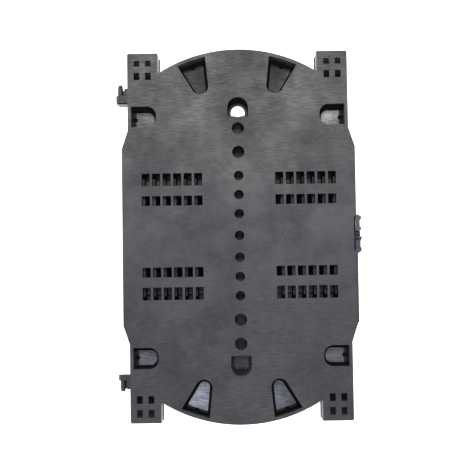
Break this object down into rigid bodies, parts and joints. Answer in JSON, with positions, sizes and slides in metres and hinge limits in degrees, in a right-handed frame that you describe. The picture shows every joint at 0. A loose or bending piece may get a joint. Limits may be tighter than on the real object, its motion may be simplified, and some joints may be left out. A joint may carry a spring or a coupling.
{
  "type": "fibre splice tray",
  "caption": "Shallow one-piece fibre splice tray with round ends, retaining tabs, combed splice channels, corner ports, hinge pins and a side latch.",
  "frame": {"origin": "middle of the plane of the front rim, under the middle of the tray's outline", "axes": "+X to the latch side, -X to the hinge side, +Y to the end with the eyelet, +Z out of the back plate; the open front faces -Z"},
  "size_m": [0.1054, 0.1606, 0.012],
  "materials": {
    "tray": "satin moulded black ABS"
  },
  "bodies": {
    "root": {"splice_tray": "tray"}
  },
  "joints": []
}
